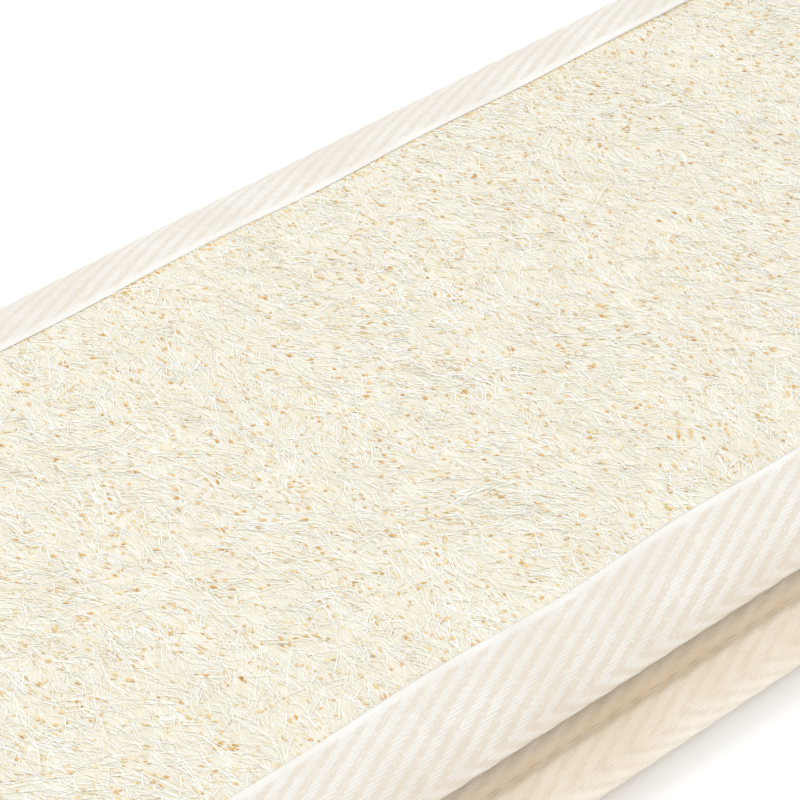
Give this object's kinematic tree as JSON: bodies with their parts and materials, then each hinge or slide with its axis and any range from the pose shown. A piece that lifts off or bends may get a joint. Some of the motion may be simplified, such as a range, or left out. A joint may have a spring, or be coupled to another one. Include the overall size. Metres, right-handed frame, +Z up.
{
  "type": "loofah back scrubber",
  "caption": "Flat padded bath strap with a loofah face, herringbone-bound edges, a cotton back and a webbing hand loop at each end.",
  "frame": {"origin": "middle of the strap's footprint, on the surface that it lies on", "axes": "+X along the strap, +Y across it, +Z up out of the loofah face"},
  "size_m": [0.8406, 0.115, 0.0344],
  "materials": {
    "loofah": "pressed dried loofah fibre, cream white over golden pores",
    "tape": "undyed cotton herringbone twill tape",
    "lining": "plain undyed cotton cloth",
    "interlining": "matte felted sheet",
    "foam": "open-cell bath foam, matte",
    "back_cloth": "undyed looped cotton towelling",
    "webbing": "undyed cotton webbing, ribbed"
  },
  "bodies": {
    "left_half": {"loofah_pad_left": "loofah", "face_lining_left": "lining", "face_tape_near_left": "tape", "face_tape_far_left": "tape", "face_end_tape_left": "tape", "interlining_left": "interlining", "inner_cloth_left": "lining", "foam_core_left": "foam", "back_cloth_left": "back_cloth", "back_tape_near_left": "tape", "back_tape_far_left": "tape", "back_end_tape_left": "tape", "handle_tail_left": "webbing"},
    "right_half": {"loofah_pad_right": "loofah", "face_lining_right": "lining", "face_tape_near_right": "tape", "face_tape_far_right": "tape", "face_end_tape_right": "tape", "interlining_right": "interlining", "inner_cloth_right": "lining", "foam_core_right": "foam", "back_cloth_right": "back_cloth", "back_tape_near_right": "tape", "back_tape_far_right": "tape", "back_end_tape_right": "tape", "handle_tail_right": "webbing"},
    "left_handle": {"handle_loop_left": "webbing"},
    "right_handle": {"handle_loop_right": "webbing"}
  },
  "joints": [
    {"name": "middle_fold", "type": "hinge", "parent": "left_half", "child": "right_half", "pos_m": [0, 0, 0.0172], "axis": [0, -1, 0], "range_deg": [0, 120]},
    {"name": "left_loop_swing", "type": "hinge", "parent": "left_half", "child": "left_handle", "pos_m": [-0.3276, 0, 0.00965], "axis": [0, 1, 0], "range_deg": [0, 90]},
    {"name": "right_loop_swing", "type": "hinge", "parent": "right_half", "child": "right_handle", "pos_m": [0.3276, 0, 0.00965], "axis": [0, -1, 0], "range_deg": [0, 90]}
  ]
}
